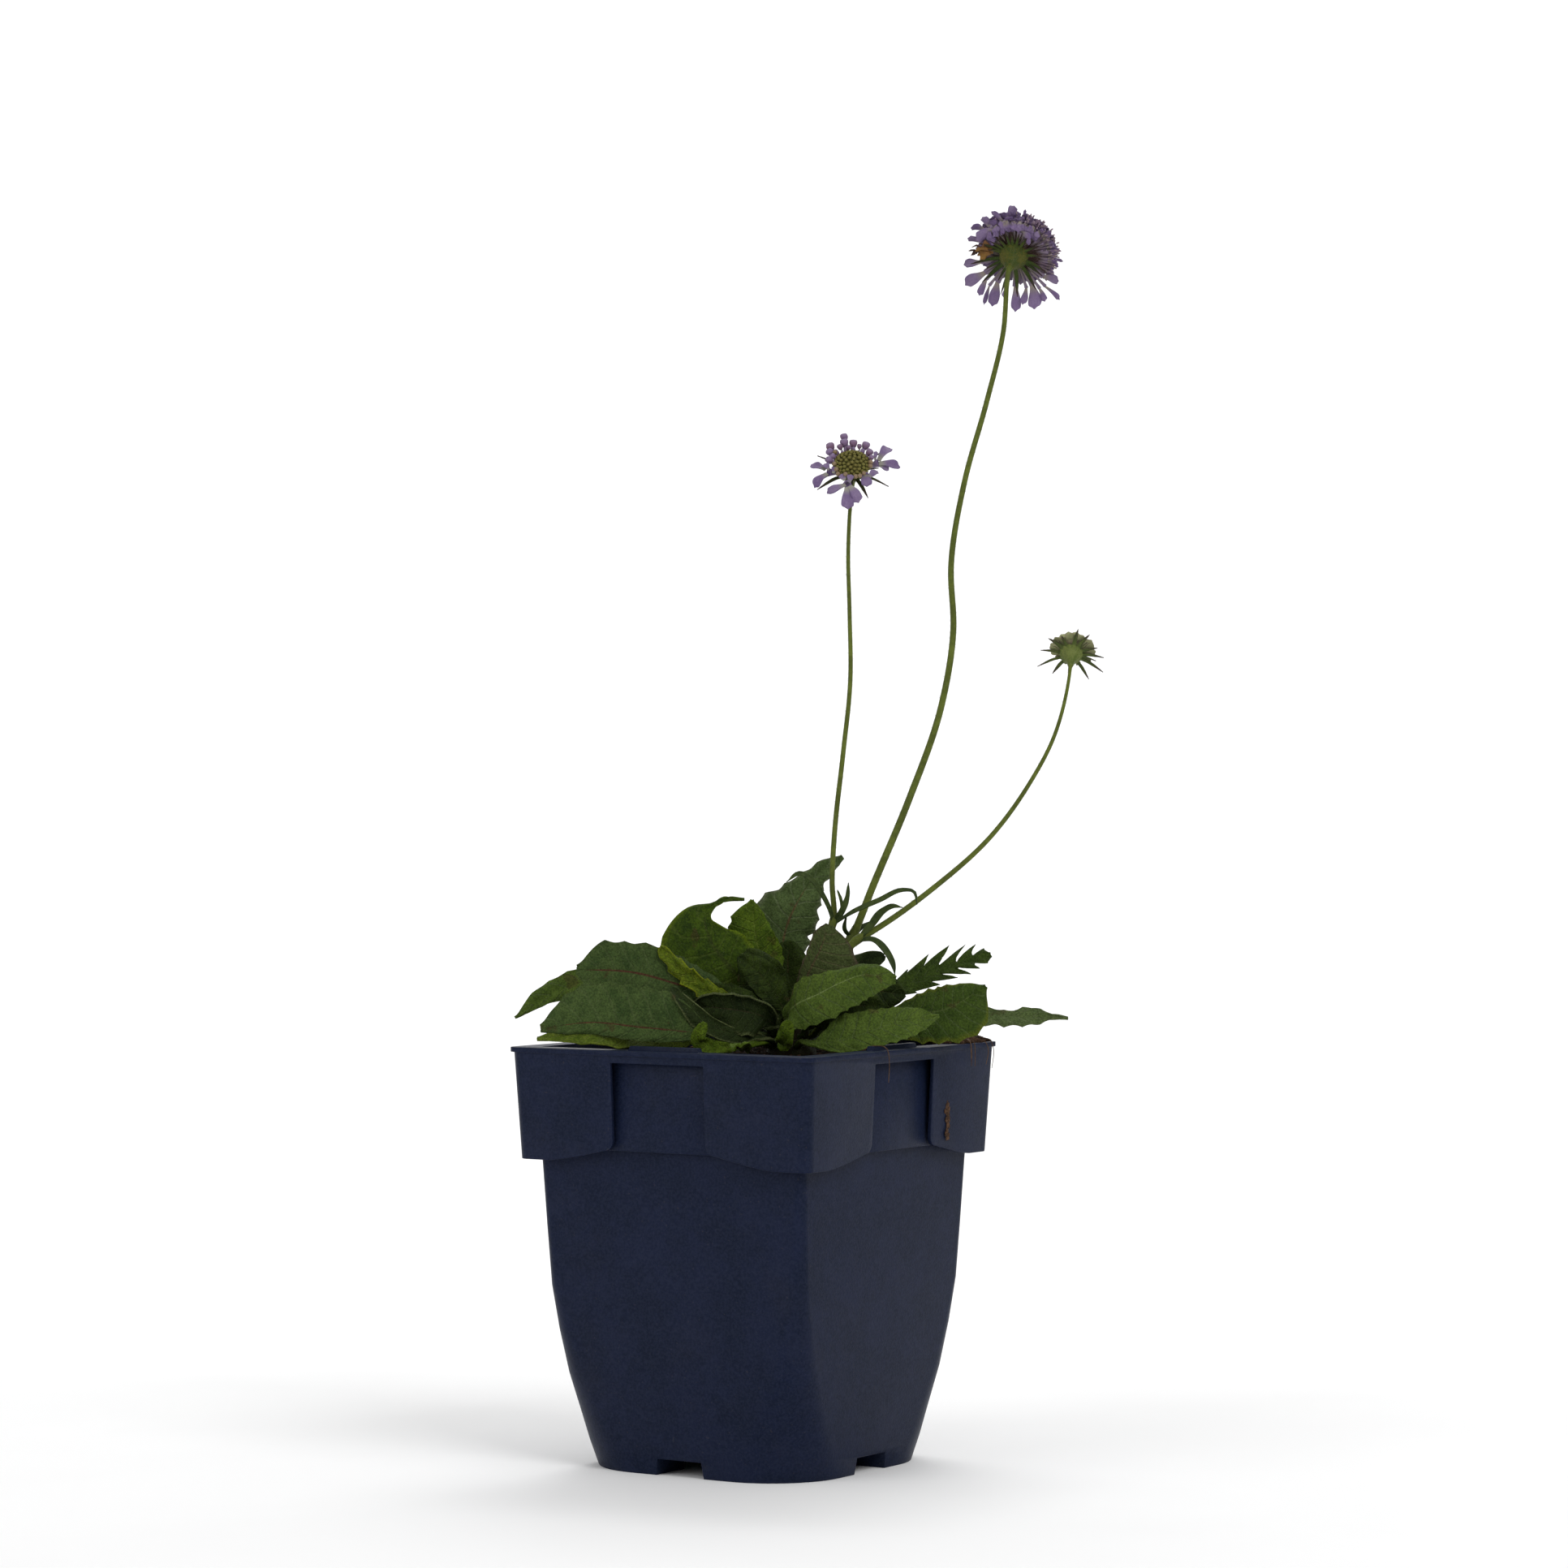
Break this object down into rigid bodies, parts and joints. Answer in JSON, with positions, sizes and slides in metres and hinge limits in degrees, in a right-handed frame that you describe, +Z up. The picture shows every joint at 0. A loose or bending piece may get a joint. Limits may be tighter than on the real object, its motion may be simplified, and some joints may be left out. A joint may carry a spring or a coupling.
{
  "type": "potted pincushion flower",
  "caption": "Pincushion flower in bloom and bud, with a rosette of leaves, growing in a square navy nursery pot that stands on its flat foot.",
  "frame": {"origin": "on the ground, on the upright axis of the pot, at the foot that it stands on", "axes": "+Z up; X and Y square to the pot's faces, with the corner between +X and -Y towards the side that the picture shows"},
  "size_m": [0.1534, 0.1249, 0.3867],
  "materials": {
    "pot_plastic": "fine-grained moulded nursery plastic, dark navy",
    "potting_soil": "dark crumbly peat and bark compost, dull",
    "leaf": "soft hairy leaf, dull, lighter along its veins",
    "stem": "thin green stem with fine hairs",
    "bract": "narrow green bracts with purplish tips",
    "petal": "thin lilac petal, dull",
    "bud": "closed yellow-green buds with pinkish edges"
  },
  "bodies": {
    "root": {"pot": "pot_plastic", "soil": "potting_soil", "crown": "stem", "leaf_front": "leaf", "leaf_young_front": "leaf", "leaf_young_rim": "leaf", "leaf_rim_left": "leaf", "leaf_red_rib": "leaf", "leaf_shaded": "leaf", "leaf_centre": "leaf", "leaf_broad_left": "leaf", "leaf_left_tip": "leaf", "leaf_arched": "leaf", "leaf_upright": "leaf", "leaf_tall": "leaf", "leaf_purple": "leaf", "leaf_right_fold": "leaf", "leaf_feathered": "leaf", "leaf_far_right": "leaf", "leaf_small_dark": "leaf", "leaf_back_1": "leaf", "leaf_back_2": "leaf", "leaf_back_3": "leaf", "leaf_back_4": "leaf", "leaf_back_5": "leaf", "leaf_back_6": "leaf", "leaf_back_7": "leaf", "leaf_back_8": "leaf", "leaf_back_9": "leaf", "stalk_1": "stem", "stalk_2": "stem", "stalk_3": "stem", "head_1_green": "bract", "head_1_florets": "petal", "head_2_green": "bract", "head_2_florets": "petal", "head_2_buds": "bud", "head_3_green": "bract", "head_3_buds": "bud"}
  },
  "joints": []
}
